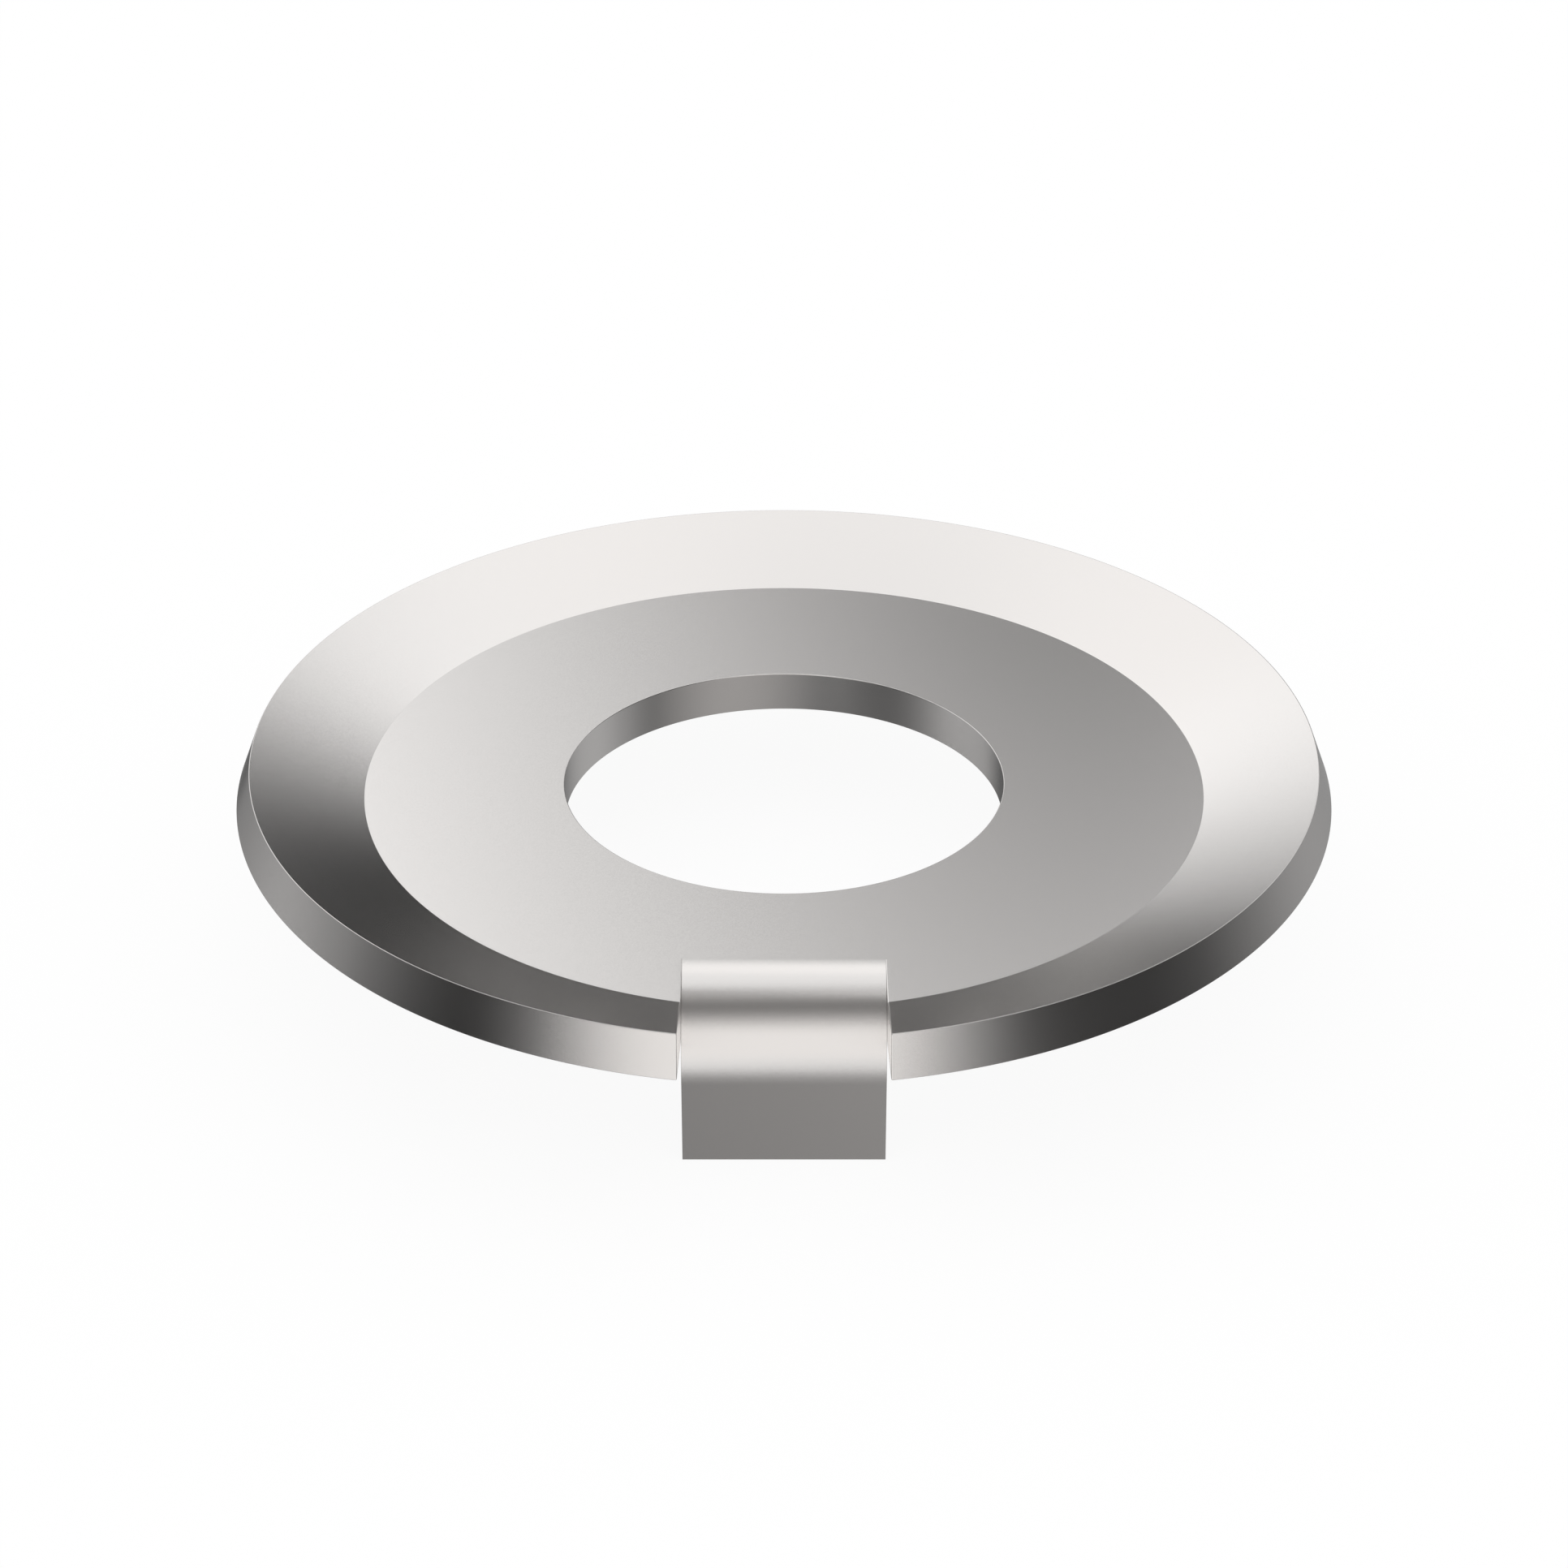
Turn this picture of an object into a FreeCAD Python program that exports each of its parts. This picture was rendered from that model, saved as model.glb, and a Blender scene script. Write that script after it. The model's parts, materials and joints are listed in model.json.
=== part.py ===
import FreeCAD
import Part
import math
import os

# A tab lock washer, pressed from one piece of steel sheet. All sizes are in millimetres.
# Z is the axis of the bore, and the underside of the flat ring lies at Z = 0.
# The rim is dished upwards. The tab is lanced out of the ring on its -Y side and bent straight down.

# Sheet and edges
sheet_thickness = 1.0
edge_break = 0.04  # what tumbling takes off each sheared edge, drawn as a chamfer

# Ring
bore_diameter = 10.5
flat_diameter = 20.0  # of the flat upper face, out to the crease at the foot of the rim
outside_diameter = 26.0  # over the lower edge of the rim, which is the widest place
dish_angle = 20.6  # degrees that the rim slopes up from the flat
crease_radius = 0.1  # on the upper, hollow side of the crease

# Tab
tab_width = 4.5
tab_face_distance = 10.0  # from the axis of the bore to the outer face of the tab
tab_bend_radius = 1.0  # on the inner side of the bend
tab_reach = 3.0  # from the underside of the ring to the tip
lance_gap = 0.015  # left by the shears between each side of the tab and the ring

# What follows from these
bore_radius = bore_diameter / 2
crease_distance = flat_diameter / 2
slope = math.radians(dish_angle)
tab_root = tab_face_distance - sheet_thickness - tab_bend_radius

# The broken edge takes a little off the widest corner, so the sharp corner stands that much further out.
rim_corner = outside_diameter / 2 + edge_break * math.sin(slope)
rim_inner_corner = rim_corner - sheet_thickness * math.sin(slope)
rim_top = sheet_thickness + (rim_inner_corner - crease_distance) * math.tan(slope)
rim_bottom = rim_top - sheet_thickness * math.cos(slope)


def place_in_section(across, height, side):
    """A point of the YZ plane, with its distance from the bore's axis counted towards -Y."""
    return FreeCAD.Vector(side, -across, height)


def sheet_outline(corners, side):
    """A closed face through corners given as (distance from the axis, height, size).

    The size is a bend's radius. At the edge break's size the corner is cut straight, and at none it is sharp.
    """
    edges = []
    first_point = None
    last_point = None
    for number, (across, height, size) in enumerate(corners):
        corner = place_in_section(across, height, side)
        before = place_in_section(*corners[number - 1][:2], side)
        after = place_in_section(*corners[(number + 1) % len(corners)][:2], side)
        to_before = (before - corner).normalize()
        to_after = (after - corner).normalize()
        half_angle = to_before.getAngle(to_after) / 2
        setback = size / math.tan(half_angle)
        start = corner + to_before * setback
        end = corner + to_after * setback
        if last_point is None:
            first_point = start
        else:
            edges.append(Part.LineSegment(last_point, start).toShape())
        if size > edge_break:
            inwards = (to_before + to_after).normalize()
            middle = corner + inwards * (size / math.sin(half_angle) - size)
            edges.append(Part.Arc(start, middle, end).toShape())
        elif size > 0:
            edges.append(Part.LineSegment(start, end).toShape())
        last_point = end
    edges.append(Part.LineSegment(last_point, first_point).toShape())
    return Part.Face(Part.Wire(edges))


def dished_ring():
    """The ring: flat around the bore, then a crease, then the rim, one sheet thickness all through."""
    under_crease = crease_distance + sheet_thickness * math.tan(slope / 2)
    section = sheet_outline(
        [
            (bore_radius, 0, edge_break),
            (under_crease, 0, crease_radius + sheet_thickness),
            (rim_corner, rim_bottom, edge_break),
            (rim_inner_corner, rim_top, edge_break),
            (crease_distance, sheet_thickness, crease_radius),
            (bore_radius, sheet_thickness, edge_break),
        ],
        0,
    )
    return section.revolve(FreeCAD.Vector(0, 0, 0), FreeCAD.Vector(0, 0, 1), 360)


def lanced_slot():
    """What the bent tab leaves open in the ring, from its root out past the rim."""
    width = tab_width + 2 * lance_gap
    length = rim_corner - tab_root + sheet_thickness
    height = rim_top + 2 * sheet_thickness
    corner = FreeCAD.Vector(-width / 2, -tab_root - length, -sheet_thickness)
    return Part.makeBox(width, length, height, corner)


def bent_tab():
    """The tab: out of the ring, around its bend and down, with every free edge broken."""
    buried_end = tab_root - sheet_thickness
    inner_face = tab_face_distance - sheet_thickness
    section = sheet_outline(
        [
            (buried_end, 0, 0),
            (inner_face, 0, tab_bend_radius),
            (inner_face, -tab_reach, 0),
            (tab_face_distance, -tab_reach, 0),
            (tab_face_distance, sheet_thickness, tab_bend_radius + sheet_thickness),
            (buried_end, sheet_thickness, 0),
        ],
        -tab_width / 2,
    )
    sharp_tab = section.extrude(FreeCAD.Vector(tab_width, 0, 0))
    free_edges = []
    for edge in sharp_tab.Edges:
        middle = edge.CenterOfMass
        on_a_side = abs(middle.x) > tab_width / 4
        at_the_tip = middle.z < edge_break - tab_reach
        at_the_buried_end = middle.y > -tab_root
        if (on_a_side and not at_the_buried_end) or at_the_tip:
            free_edges.append(edge)
    return sharp_tab.makeChamfer(edge_break, free_edges)


def washer():
    return dished_ring().cut(lanced_slot()).fuse(bent_tab()).removeSplitter()


if __name__ == "__main__":
    os.makedirs("parts", exist_ok=True)
    solid = washer()
    box = solid.BoundBox
    print("solids", len(solid.Solids), "valid", solid.isValid(), "volume", round(solid.Volume, 3))
    print("size", round(box.XLength, 3), round(box.YLength, 3), round(box.ZLength, 3))
    print("underside to rim top", round(rim_top, 3), "underside to rim bottom", round(rim_bottom, 3))
    solid.exportStep("parts/tab_washer.step")
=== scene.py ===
import json
import math
import bmesh
import bpy
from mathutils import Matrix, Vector


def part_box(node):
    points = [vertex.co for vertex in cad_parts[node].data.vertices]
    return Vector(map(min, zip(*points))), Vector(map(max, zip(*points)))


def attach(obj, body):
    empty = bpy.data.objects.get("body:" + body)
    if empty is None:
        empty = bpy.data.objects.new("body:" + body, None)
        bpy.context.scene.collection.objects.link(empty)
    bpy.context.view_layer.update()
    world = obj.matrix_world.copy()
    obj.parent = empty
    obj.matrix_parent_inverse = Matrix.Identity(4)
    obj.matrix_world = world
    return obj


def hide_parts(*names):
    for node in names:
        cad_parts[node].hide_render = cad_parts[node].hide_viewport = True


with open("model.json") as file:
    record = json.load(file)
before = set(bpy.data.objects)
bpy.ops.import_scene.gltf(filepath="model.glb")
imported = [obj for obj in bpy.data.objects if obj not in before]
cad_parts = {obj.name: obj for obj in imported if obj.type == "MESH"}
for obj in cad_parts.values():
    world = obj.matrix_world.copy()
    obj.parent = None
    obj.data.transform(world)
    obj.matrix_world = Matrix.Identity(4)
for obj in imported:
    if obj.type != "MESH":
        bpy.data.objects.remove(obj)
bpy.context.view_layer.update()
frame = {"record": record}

# A tab lock washer of satin steel, pressed from one sheet. Z is the axis of its bore, and the underside of
# its flat ring is at Z = 0. The tab is on the -Y side, where the camera stands, and points down.

MM = 0.001  # in metres, the unit of every length here that isn't said to be in another
washer_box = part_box("tab_washer")
bore_mount = next(mount for mount in frame["record"]["mounts"] if mount["name"] == "bore")

# Sheet and its edges
sheet_thickness = 1.0 * MM
edge_round = 0.02 * MM  # left by tumbling on the sheared edges of the upper side
lower_edge_round = 0.008 * MM  # the same on the underside
edge_steps = 4  # facets in each such round

# Ring
bore_radius = bore_mount["dims"]["r_mm"] * MM
outside_radius = washer_box[1].x
crease_distance = 10.0 * MM  # from the axis to the foot of the rim, on the upper face
dish_slope = math.radians(20.48)  # keeps the rim, with its fine edge rounds, inside the washer's box
crease_radius = 0.01 * MM  # on the upper side
crease_steps = 6
segments = 480  # around the ring

# Tab
tab_width = 4.5 * MM
tab_face_distance = 10.0 * MM  # from the axis to the outer face
tab_bend_radius = 1.0 * MM  # on the inner side
tab_tip = washer_box[0].z
tab_edge_round = 0.006 * MM
smallest_round = 0.1  # share of that round that is left at the corners of the tip
bend_steps = 24

# Slot that the tab was lanced out of
lance_gap = 0.001 * MM  # on each side of the tab, so narrow that it shows only as a fine line
edge_wear = 0.016 * MM  # how much deeper the ring's surface lies at the slot's walls
root_length = 0.06 * MM  # over which this wear begins at the slot's root
front_segments = 24  # in the stretch of the ring between the bore and the tab

# What follows from these
slot_half_width = tab_width / 2 + lance_gap
tab_root = tab_face_distance - sheet_thickness - tab_bend_radius
root_corner = math.hypot(tab_root, slot_half_width)
rim_corner = outside_radius - lower_edge_round * (1 - math.sin(dish_slope) - math.cos(dish_slope))
rim_inner_corner = rim_corner - sheet_thickness * math.sin(dish_slope)
rim_top = sheet_thickness + (rim_inner_corner - crease_distance) * math.tan(dish_slope)
rim_bottom = rim_top - sheet_thickness * math.cos(dish_slope)
under_crease = crease_distance + sheet_thickness * math.tan(dish_slope / 2)
corner_points = edge_steps + 1  # at each of the four corners of the tab's section
side_starts = (2 * corner_points - 1, 4 * corner_points - 1)  # points of that section where its sides start

# Camera, fitted to the outlines in the photograph
camera_place = Vector((0, -77.52, 45.61)) * MM
camera_target = Vector((0, -0.297, 1.0063)) * MM
sensor_width = 36.0  # in millimetres, as is the focal length
focal_length = 85.77
nearest_seen = 1 * MM
farthest_seen = 10.0

# Mesh and shading
same_place = 0.0001 * MM  # points nearer than this are one
sharp_edge = math.cos(math.radians(50))  # faces that meet at more than this angle are shaded apart
area_power = 3  # makes wide faces count for far more than narrow ones in the shading of their corners

# Steel, with its finishes: the sheet's faces, its sheared edges, and the sides of the tab and its slot
# The third is a lighter copy of the same steel: its raised colour and grazing tint are painted light
ROLLED, CUT, LANCED_PAINTED_LIGHT = 0, 1, 2
STEEL_COLOUR = (0.793, 0.774, 0.760)
grain_size = 0.016 * MM
grain_detail = 1
roughness_spread = 0.03  # how far the grain takes a finish's roughness up and down

# Studio
floor_half_size = 3.0
floor_lit_share = 0.08  # of the floor's white that comes from the light that falls on it
ground_gap = 0.02 * MM  # between the floor and the tab's tip
NEUTRAL = (1, 1, 1)
FRONT_WARM = (1.02, 1.0, 0.985)
BACK_WARM = (1.01, 1.0, 0.994)


def outline(corners):
    """Points around a closed section. Each corner is (across, up, radius of its round, facets in it)."""
    points = []
    for number, (across, up, radius, steps) in enumerate(corners):
        corner = Vector((across, up))
        if radius == 0:
            points.append(corner)
            continue
        to_before = (Vector(corners[number - 1][:2]) - corner).normalized()
        to_after = (Vector(corners[(number + 1) % len(corners)][:2]) - corner).normalized()
        half_angle = to_before.angle(to_after) / 2
        centre = corner + (to_before + to_after).normalized() * (radius / math.sin(half_angle))
        start = corner + to_before * (radius / math.tan(half_angle)) - centre
        end = corner + to_after * (radius / math.tan(half_angle)) - centre
        points += [centre + start.slerp(end, step / steps) * radius for step in range(steps + 1)]
    return points


def ring_section():
    """Corners of the sheet where it is cut through, from the bore out along the top and back underneath."""
    half_way = (bore_radius + root_corner) / 2
    return [
        (bore_radius, sheet_thickness, edge_round, edge_steps),
        (half_way, sheet_thickness, 0, 0),
        (root_corner, sheet_thickness, 0, 0),
        (root_corner + root_length, sheet_thickness, 0, 0),
        (crease_distance, sheet_thickness, crease_radius, crease_steps),
        (rim_inner_corner, rim_top, edge_round, edge_steps),
        (rim_corner, rim_bottom, lower_edge_round, edge_steps),
        (under_crease, 0, crease_radius + sheet_thickness, 2 * crease_steps),
        (root_corner + root_length, 0, 0, 0),
        (root_corner, 0, 0, 0),
        (half_way, 0, 0, 0),
        (bore_radius, 0, lower_edge_round, edge_steps),
    ]


def worn(corners):
    """The corners of a section whose sides all lie deeper by the wear at the slot."""
    deeper = []
    for number, (across, up, radius, steps) in enumerate(corners):
        corner = Vector((across, up))
        before = (corner - Vector(corners[number - 1][:2])).normalized()
        after = (Vector(corners[(number + 1) % len(corners)][:2]) - corner).normalized()
        inwards = Vector((before.y + after.y, -before.x - after.x))  # the sum of both sides' normals
        corner += inwards * edge_wear / (1 + before.dot(after))
        deeper.append((*corner, radius, steps))
    return deeper


def around(across, up, angle):
    """A point at an angle about the bore's axis, counted from the tab's side."""
    return Vector((across * math.sin(angle), -across * math.cos(angle), up))


def ring_row(mesh, across, up, at_wall):
    """Points around the ring from the slot's right wall to its left, at one point of the section.

    Nearer to the bore than the slot's root, a second line of points closes the ring on the tab's side."""
    reach = max(across, root_corner)
    opening = math.asin(slot_half_width / reach)
    first = opening + edge_round / reach
    step = (2 * math.pi - 2 * first) / (segments - 2)
    places = [around(across, up, first + step * number) for number in range(segments - 1)]
    if across > root_corner + same_place:
        depth = -math.sqrt(at_wall.x**2 - slot_half_width**2)
        ends = [Vector((side * slot_half_width, depth, at_wall.y)) for side in (1, -1)]
    else:
        ends = [around(across, up, angle) for angle in (opening, -opening)]
    row = [mesh.verts.new(place) for place in (ends[0], *places, ends[1])]
    if across > root_corner - same_place:
        return row, None
    front_step = 2 * opening / front_segments
    angles = [front_step * number - opening for number in range(1, front_segments)]
    return row, [row[-1], *(mesh.verts.new(around(across, up, angle)) for angle in angles), row[0]]


def add_strip(mesh, first, second, finish):
    """Four-sided faces between two lines of points."""
    for number in range(len(first) - 1):
        corners = (first[number], first[number + 1], second[number + 1], second[number])
        mesh.faces.new(corners).material_index = finish


def ring_finish(before, after):
    """Only the walls of the bore and the rim are sheared, and they are the steep parts of the section."""
    run = after - before
    return CUT if abs(run.y) > abs(run.x) else ROLLED


def add_ring(mesh, tab_end):
    """The dished ring, with the slot that the tab was lanced out of, joined to the tab's end."""
    points = outline(ring_section())
    at_walls = outline(worn(ring_section()))
    rows = [ring_row(mesh, *point, at_wall) for point, at_wall in zip(points, at_walls)]
    lower_left, lower_right, upper_right, upper_left = tab_corners(tab_end)
    for number, (row, front) in enumerate(rows):
        following = (number + 1) % len(rows)
        next_row, next_front = rows[following]
        finish = ring_finish(points[number], points[following])
        add_strip(mesh, row, next_row, finish)
        if front and next_front:
            add_strip(mesh, front, next_front, finish)
        elif front:  # on the upper side, one face joins the ring to the tab's root
            mesh.faces.new([*front, next_row[0], upper_right[-1], upper_left[0], next_row[-1]])
        elif next_front:  # the same underneath
            mesh.faces.new([*next_front, row[0], lower_right[0], lower_left[-1], row[-1]])

    add_slot_walls(mesh, [row for row, front in rows if front is None], tab_end)


def add_slot_walls(mesh, slot_rows, tab_end):
    """The slot's right and left wall, and at its root what closes the gap to the tab's side."""
    lower_left, lower_right, upper_right, upper_left = tab_corners(tab_end)
    right_side = [*reversed(upper_right), *reversed(lower_right)]
    left_side = upper_left + lower_left
    for end, tab_side in ((0, right_side), (-1, left_side)):
        slot_wall = mesh.faces.new([row[end] for row in slot_rows])
        root_wall = mesh.faces.new([slot_rows[0][end], *tab_side, slot_rows[-1][end]])
        # both walls take the steel with painted light
        slot_wall.material_index = LANCED_PAINTED_LIGHT
        root_wall.material_index = LANCED_PAINTED_LIGHT


def tab_section(mesh, inner, outwards, drawn_in):
    """Points around the tab, at a place on its inner face, with its sides drawn in."""
    half_width = tab_width / 2 - drawn_in
    radius = max(tab_edge_round - drawn_in, tab_edge_round * smallest_round)
    low, high = drawn_in, sheet_thickness - drawn_in
    corners = [(-half_width, low), (half_width, low), (half_width, high), (-half_width, high)]
    points = outline([(*corner, radius, edge_steps) for corner in corners])
    return [mesh.verts.new(Vector((point.x, 0, 0)) + inner + outwards * point.y) for point in points]


def tab_corners(section):
    """A tab section's points at its lower left, lower right, upper right and upper left corner."""
    return [section[first : first + corner_points] for first in range(0, len(section), corner_points)]


def tab_sections(mesh):
    """Sections of the tab, from its root around the bend and down to its tip."""
    bend_centre = Vector((0, -tab_root, -tab_bend_radius))
    sections = []
    for step in range(bend_steps + 1):
        angle = math.pi / 2 * step / bend_steps
        outwards = Vector((0, -math.sin(angle), math.cos(angle)))
        sections.append(tab_section(mesh, bend_centre + outwards * tab_bend_radius, outwards, 0))
    outwards = Vector((0, -1, 0))
    for step in range(edge_steps + 1):
        angle = math.pi / 2 * step / edge_steps
        drawn_in = tab_edge_round * (1 - math.cos(angle))
        height = tab_tip + tab_edge_round * (1 - math.sin(angle))
        inner = Vector((0, sheet_thickness - tab_face_distance, height))
        sections.append(tab_section(mesh, inner, outwards, drawn_in))
    return sections


def add_tab(mesh):
    """The tab, open at its root. Returns the points there."""
    sections = tab_sections(mesh)
    for first, second in zip(sections, sections[1:]):
        for number in range(len(first)):
            after = (number + 1) % len(first)
            face = mesh.faces.new((first[number], first[after], second[after], second[number]))
            # the tab's sides take the steel with painted light
            face.material_index = LANCED_PAINTED_LIGHT if number in side_starts else ROLLED
    mesh.faces.new(sections[-1]).material_index = CUT
    return sections[0]


def shading_normals(mesh):
    """A normal for each corner of each face.

    Flat faces stay flat up to their rounded edges, and sharp edges stay sharp."""
    for face in mesh.faces:
        face.smooth = True
    weights = {face: (face.calc_area() / MM**2) ** area_power for face in mesh.faces}
    normals = []
    for face in mesh.faces:
        for vert in face.verts:
            near = [other for other in vert.link_faces if other.normal.dot(face.normal) > sharp_edge]
            normals.append(sum((other.normal * weights[other] for other in near), Vector()).normalized())
    return normals


def build_washer():
    """The whole washer as one closed mesh with three finishes of the same steel, the third also with
    painted light.
    """
    mesh = bmesh.new()
    add_ring(mesh, add_tab(mesh))
    bmesh.ops.remove_doubles(mesh, verts=mesh.verts, dist=same_place)
    bmesh.ops.recalc_face_normals(mesh, faces=mesh.faces)
    data = bpy.data.meshes.new("washer")
    mesh.to_mesh(data)
    data.normals_split_custom_set(shading_normals(mesh))
    mesh.free()
    washer = bpy.data.objects.new("washer", data)
    bpy.context.scene.collection.objects.link(washer)
    data.materials.append(steel("rolled_steel", roughness=0.22, grain_tilt=0.1, grazing=0.65))
    data.materials.append(steel("cut_steel", roughness=0.20, grain_tilt=0.05, grazing=0.65))
    # sides of the tab and its slot: the colour 1.2 times brighter and the full grazing tint are painted
    # light
    data.materials.append(steel("lanced_steel_painted_light", roughness=0.13, grain_tilt=0.03, grazing=1.0, level=1.2))
    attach(washer, "root")
    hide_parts("tab_washer")


def steel(name, roughness, grain_tilt, grazing, level=1.0):
    """Satin steel with a fine even grain.

    Grazing is its tint at grazing angles, and level scales its colour. A level above 1 and a full grazing
    tint paint light into the colour."""
    material = bpy.data.materials.new(name)
    material.use_nodes = True
    nodes, links = material.node_tree.nodes, material.node_tree.links
    shader = nodes["Principled BSDF"]
    shader.inputs["Metallic"].default_value = 1.0
    shader.inputs["Base Color"].default_value = (*(part * level for part in STEEL_COLOUR), 1)
    shader.inputs["Specular Tint"].default_value = (grazing, grazing, grazing, 1)

    place = nodes.new("ShaderNodeTexCoord")
    grain = nodes.new("ShaderNodeTexNoise")
    grain.inputs["Scale"].default_value = 1 / grain_size
    grain.inputs["Detail"].default_value = grain_detail
    links.new(place.outputs["Object"], grain.inputs["Vector"])
    normal = tilted_normal(nodes, links, grain.outputs["Color"], grain_tilt)
    links.new(normal, shader.inputs["Normal"])

    spread = nodes.new("ShaderNodeMapRange")
    spread.inputs["To Min"].default_value = roughness - roughness_spread
    spread.inputs["To Max"].default_value = roughness + roughness_spread
    links.new(grain.outputs["Fac"], spread.inputs["Value"])
    links.new(spread.outputs["Result"], shader.inputs["Roughness"])
    return material


def tilted_normal(nodes, links, grain_colour, grain_tilt):
    """The surface's normal, tilted a little to any side by the grain's colour."""
    tilt = nodes.new("ShaderNodeVectorMath")
    tilt.operation = "MULTIPLY_ADD"
    tilt.inputs[1].default_value = (grain_tilt,) * 3
    tilt.inputs[2].default_value = (-grain_tilt / 2,) * 3
    links.new(grain_colour, tilt.inputs[0])
    tilted = nodes.new("ShaderNodeVectorMath")
    links.new(nodes.new("ShaderNodeNewGeometry").outputs["Normal"], tilted.inputs[0])
    links.new(tilt.outputs["Vector"], tilted.inputs[1])
    unit = nodes.new("ShaderNodeVectorMath")
    unit.operation = "NORMALIZE"
    links.new(tilted.outputs["Vector"], unit.inputs[0])
    return unit.outputs["Vector"]


def add_camera():
    """The camera, aimed as in the photograph."""
    data = bpy.data.cameras.new("camera")
    data.sensor_width = sensor_width
    data.lens = focal_length
    data.clip_start = nearest_seen
    data.clip_end = farthest_seen
    camera = bpy.data.objects.new("camera", data)
    camera.location = camera_place
    camera.rotation_euler = (camera_target - camera_place).to_track_quat("-Z", "Y").to_euler()
    bpy.context.scene.collection.objects.link(camera)
    bpy.context.scene.camera = camera


def add_world():
    """A plain white world, at the level at which a colour renders as it is written."""
    world = bpy.data.worlds.new("studio")
    world.use_nodes = True
    world.node_tree.nodes["Background"].inputs["Color"].default_value = (1, 1, 1, 1)
    bpy.context.scene.world = world


def flat_panel(name, half_width, half_height):
    """A stage panel in its own XY plane."""
    data = bpy.data.meshes.new(name)
    corners = [(-half_width, -half_height, 0), (half_width, -half_height, 0)]
    corners += [(half_width, half_height, 0), (-half_width, half_height, 0)]
    data.from_pydata(corners, [], [(0, 1, 2, 3)])
    panel = bpy.data.objects.new(name, data)
    bpy.context.scene.collection.objects.link(panel)
    return panel


def add_floor():
    """White, mostly by its own light, so that the washer's shadow stays pale."""
    floor = flat_panel("floor", floor_half_size, floor_half_size)
    floor.location.z = tab_tip - ground_gap
    material = bpy.data.materials.new("floor")
    material.use_nodes = True
    shader = material.node_tree.nodes["Principled BSDF"]
    shader.inputs["Base Color"].default_value = (floor_lit_share,) * 3 + (1,)
    shader.inputs["Roughness"].default_value = 1.0
    shader.inputs["Specular IOR Level"].default_value = 0.0
    shader.inputs["Emission Color"].default_value = (1, 1, 1, 1)
    shader.inputs["Emission Strength"].default_value = 1 - floor_lit_share
    material.cycles.emission_sampling = "NONE"
    floor.data.materials.append(material)
    floor.visible_glossy = False


def fade(nodes, links, offset, full, none):
    """1 up to the distance full from the middle, falling smoothly to 0 at the distance none."""
    distance = nodes.new("ShaderNodeMath")
    distance.operation = "ABSOLUTE"
    links.new(offset, distance.inputs[0])
    mask = nodes.new("ShaderNodeMapRange")
    mask.interpolation_type = "SMOOTHSTEP"
    mask.inputs["From Min"].default_value = none
    mask.inputs["From Max"].default_value = full
    links.new(distance.outputs[0], mask.inputs["Value"])
    return mask.outputs["Result"]


def card_material(name, half_size, soft_edge, brightness, colour):
    """Even light that fades out towards the card's edges."""
    material = bpy.data.materials.new(name)
    material.use_nodes = True
    material.cycles.emission_sampling = "NONE"
    nodes, links = material.node_tree.nodes, material.node_tree.links
    nodes.remove(nodes["Principled BSDF"])
    light = nodes.new("ShaderNodeEmission")
    light.inputs["Strength"].default_value = brightness
    light.inputs["Color"].default_value = (*colour, 1)
    place = nodes.new("ShaderNodeSeparateXYZ")
    links.new(nodes.new("ShaderNodeTexCoord").outputs["Object"], place.inputs[0])
    mask = nodes.new("ShaderNodeMath")
    mask.operation = "MULTIPLY"
    for axis in (0, 1):
        edge = half_size[axis] * MM
        faded = fade(nodes, links, place.outputs[axis], edge * (1 - soft_edge[axis]), edge)
        links.new(faded, mask.inputs[axis])
    mix = nodes.new("ShaderNodeMixShader")
    links.new(mask.outputs[0], mix.inputs[0])
    links.new(nodes.new("ShaderNodeBsdfTransparent").outputs[0], mix.inputs[1])
    links.new(light.outputs[0], mix.inputs[2])
    links.new(mix.outputs[0], nodes["Material Output"].inputs["Surface"])
    return material


def add_card(name, azimuth, elevation, distance, half_size, soft_edge, brightness, roll=0, colour=NEUTRAL):
    """A card or softbox that faces the washer and is seen only by reflections.

    Its lengths are in millimetres and its angles in degrees. Azimuth 0 is behind the washer and 90 on its
    right. The soft edge is a share of the half size, along and up. Brightness 1 is the world's white."""
    panel = flat_panel(name, *(half * MM for half in half_size))
    panel.visible_camera = False
    panel.visible_diffuse = False
    panel.visible_shadow = False
    panel.data.materials.append(card_material(name, half_size, soft_edge, brightness, colour))
    turn, rise = math.radians(azimuth), math.radians(elevation)
    out = Vector((math.sin(turn) * math.cos(rise), math.cos(turn) * math.cos(rise), math.sin(rise)))
    panel.location = out * distance * MM
    panel.rotation_euler = out.to_track_quat("Z", "Y").to_euler()
    panel.rotation_euler.rotate_axis("Z", -math.radians(roll))


build_washer()
add_camera()
add_world()
add_floor()

# Behind the washer, where the flat ring and most of the rim look
add_card(
    "softbox_behind",
    azimuth=-22,
    elevation=46,
    distance=205,
    half_size=(134, 43),
    soft_edge=(0.13, 0.49),
    brightness=1.14,
    roll=42,
    colour=BACK_WARM,
)
add_card(
    "softbox_behind_left",
    azimuth=-21,
    elevation=35,
    distance=297,
    half_size=(65, 94),
    soft_edge=(0.62, 0.06),
    brightness=1.26,
    roll=7,
)
add_card(
    "softbox_behind_right",
    azimuth=32,
    elevation=42,
    distance=210,
    half_size=(64, 85),
    soft_edge=(0.54, 0.92),
    brightness=1.17,
    roll=-15,
)
add_card(
    "dark_behind",
    azimuth=6,
    elevation=10,
    distance=280,
    half_size=(87, 260),
    soft_edge=(1, 1),
    brightness=0,
    roll=-5,
)

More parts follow.
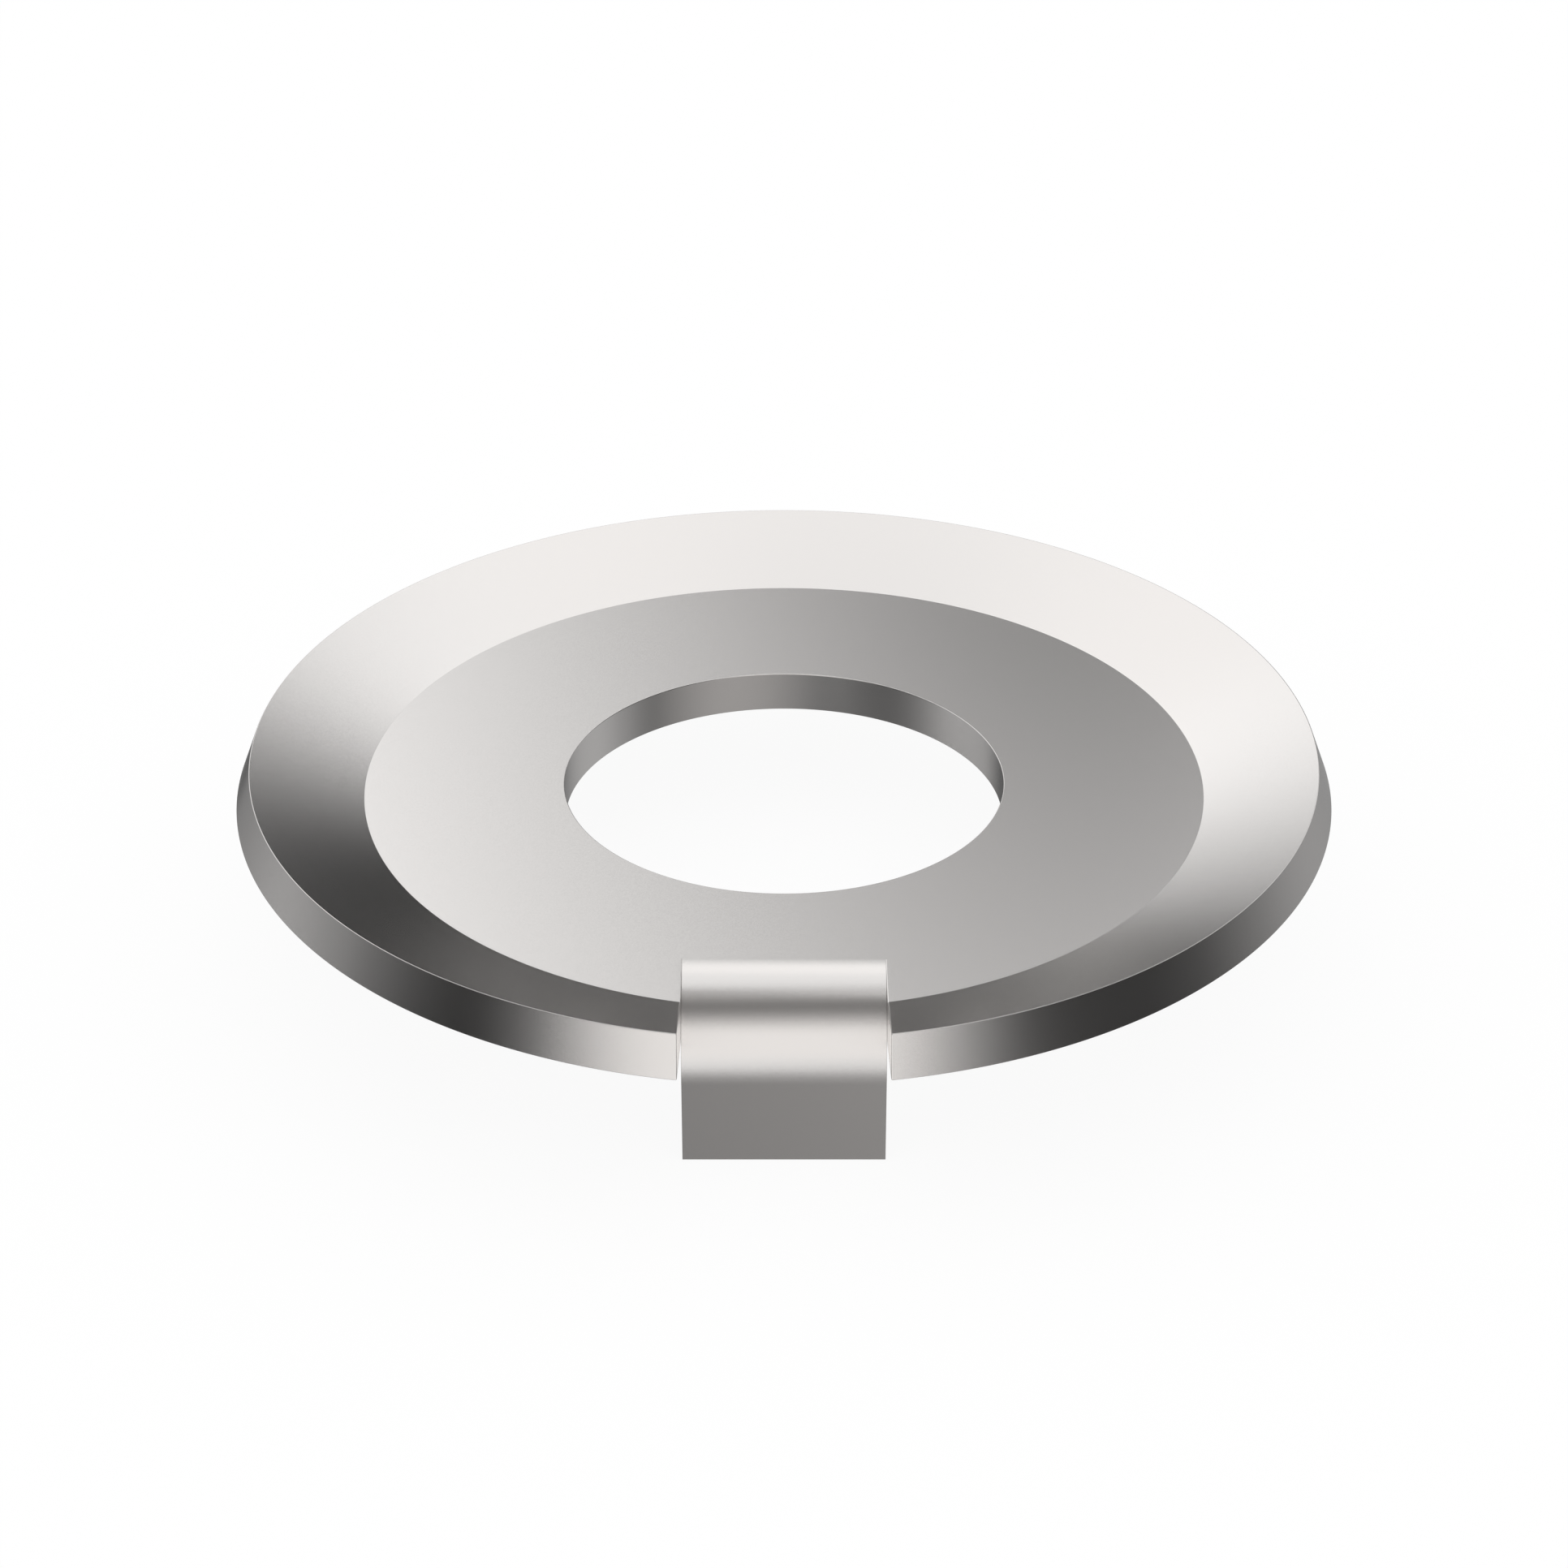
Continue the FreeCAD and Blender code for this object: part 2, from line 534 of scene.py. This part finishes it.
# Left and right of it, where the sheared walls look
add_card(
    "dark_left",
    azimuth=-104,
    elevation=15,
    distance=153,
    half_size=(208, 260),
    soft_edge=(0.95, 0.05),
    brightness=0.02,
    roll=-33,
)
add_card(
    "dark_right",
    azimuth=105,
    elevation=22,
    distance=146,
    half_size=(160, 256),
    soft_edge=(0.8, 0.31),
    brightness=0.04,
    roll=39,
)
add_card(
    "near_left",
    azimuth=-95,
    elevation=14,
    distance=67,
    half_size=(41, 40),
    soft_edge=(0.98, 0.96),
    brightness=0.16,
    roll=4,
)
add_card(
    "low_left",
    azimuth=-56,
    elevation=-3,
    distance=81,
    half_size=(126, 68),
    soft_edge=(0.7, 0.96),
    brightness=0.36,
    roll=-37,
)
add_card(
    "softbox_left",
    azimuth=-81,
    elevation=23,
    distance=145,
    half_size=(118, 88),
    soft_edge=(0.6, 0.45),
    brightness=1.31,
    roll=-12,
)

# In front of it, where the tab and its bend look
add_card(
    "softbox_front",
    azimuth=-155,
    elevation=19,
    distance=167,
    half_size=(95, 85),
    soft_edge=(0.65, 0.98),
    brightness=0.98,
    roll=42,
    colour=FRONT_WARM,
)
add_card(
    "front_wall",
    azimuth=180,
    elevation=45,
    distance=320,
    half_size=(320, 400),
    soft_edge=(0.5, 0.5),
    brightness=1,
    colour=FRONT_WARM,
)
add_card(
    "high_front",
    azimuth=151,
    elevation=66,
    distance=128,
    half_size=(260, 87),
    soft_edge=(0.16, 1),
    brightness=0.19,
    roll=13,
    colour=FRONT_WARM,
)
add_card(
    "low_front",
    azimuth=150,
    elevation=-30,
    distance=99,
    half_size=(103, 84),
    soft_edge=(1, 0.99),
    brightness=0.39,
    roll=42,
    colour=FRONT_WARM,
)

# Below it, where the tab's face and the sheared walls look
add_card(
    "ground",
    azimuth=163,
    elevation=-82,
    distance=88,
    half_size=(259, 257),
    soft_edge=(0.67, 0.65),
    brightness=0.16,
)
add_card(
    "dark_below",
    azimuth=42,
    elevation=-39,
    distance=144,
    half_size=(255, 258),
    soft_edge=(0.05, 0.57),
    brightness=0,
    roll=-19,
)
add_card(
    "low_right",
    azimuth=45,
    elevation=-32,
    distance=99,
    half_size=(112, 149),
    soft_edge=(0.91, 1),
    brightness=0.51,
    roll=-55,
)

# Small ones close to it, for the lines along the rim's edge, the wall at the far left and the tab's bend
add_card(
    "line_left",
    azimuth=-114,
    elevation=44,
    distance=60,
    half_size=(36, 26),
    soft_edge=(0.8, 0.8),
    brightness=0,
)
add_card(
    "line_right",
    azimuth=92,
    elevation=42,
    distance=60,
    half_size=(18, 18),
    soft_edge=(1, 1),
    brightness=0.4,
)
add_card(
    "wall_left",
    azimuth=-31,
    elevation=-19,
    distance=75,
    half_size=(11, 10),
    soft_edge=(1, 1),
    brightness=0,
)
add_card(
    "tab_glint",
    azimuth=154,
    elevation=74,
    distance=47,
    half_size=(5, 5),
    soft_edge=(1, 1),
    brightness=1,
)
add_card(
    "tab_shade",
    azimuth=-154,
    elevation=77,
    distance=47,
    half_size=(5, 4),
    soft_edge=(1, 1),
    brightness=0.2,
)

bpy.context.scene.view_settings.view_transform = "Standard"
